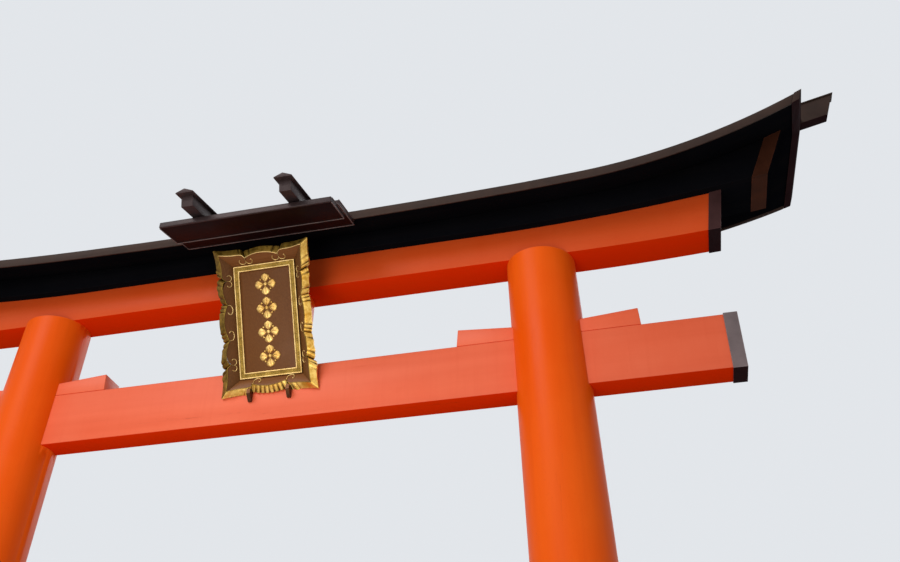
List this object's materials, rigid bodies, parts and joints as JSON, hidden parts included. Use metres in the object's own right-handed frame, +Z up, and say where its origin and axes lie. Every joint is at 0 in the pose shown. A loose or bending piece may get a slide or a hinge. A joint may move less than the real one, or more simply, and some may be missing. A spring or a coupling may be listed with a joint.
{
  "type": "torii gate",
  "caption": "Vermilion timber shrine gate with leaning round posts, a wedged tie beam, upswept lintels under a copper-clad roof, and a hooded tablet at the middle.",
  "frame": {"origin": "middle of the left post's foot, on the ground", "axes": "+X along the gate towards the right post, +Y from the front (the tablet's side) to the back, +Z up"},
  "size_m": [6.5144, 1.3066, 5.6494],
  "materials": {
    "vermilion_timber": "smooth vermilion lacquer",
    "black_timber": "satin black paint",
    "roof_copper": "aged brown copper sheet",
    "cap_copper": "aged copper shoe",
    "hood_copper": "semi-gloss dark copper sheet",
    "tablet_timber": "brown lacquer",
    "gilt": "gilded carving",
    "black_iron": "dark forged iron",
    "collar_black": "satin black"
  },
  "bodies": {
    "root": {"centre_strut": "vermilion_timber", "eave_fascia_back": "roof_copper", "eave_fascia_front": "roof_copper", "foot_collar_left": "collar_black", "foot_collar_right": "collar_black", "hood_beam_cap_left": "hood_copper", "hood_beam_cap_right": "hood_copper", "hood_beam_left": "hood_copper", "hood_beam_right": "hood_copper", "hood_fascia": "hood_copper", "hood_lower_sheet": "hood_copper", "hood_upper_sheet": "hood_copper", "left_post_inner_wedge": "vermilion_timber", "left_post_outer_wedge": "vermilion_timber", "lower_lintel": "vermilion_timber", "lower_lintel_cap_left": "cap_copper", "lower_lintel_cap_right": "cap_copper", "post_left": "vermilion_timber", "post_right": "vermilion_timber", "ridge_box": "roof_copper", "ridge_cover": "roof_copper", "ridge_end_left": "roof_copper", "ridge_end_right": "roof_copper", "right_post_inner_wedge": "vermilion_timber", "right_post_outer_wedge": "vermilion_timber", "roof_back": "roof_copper", "roof_front": "roof_copper", "tablet_board_bottom": "tablet_timber", "tablet_board_left": "tablet_timber", "tablet_board_right": "tablet_timber", "tablet_board_top": "tablet_timber", "tablet_brackets": "black_iron", "tablet_moulding": "gilt", "tablet_panel": "tablet_timber", "tablet_rim": "gilt", "tablet_stays": "black_iron", "tie_beam": "vermilion_timber", "tie_cap_left": "cap_copper", "tie_cap_right": "cap_copper", "upper_lintel": "black_timber", "upper_lintel_cap_left": "cap_copper", "upper_lintel_cap_right": "cap_copper", "verge_left": "roof_copper", "verge_right": "roof_copper"}
  },
  "joints": []
}
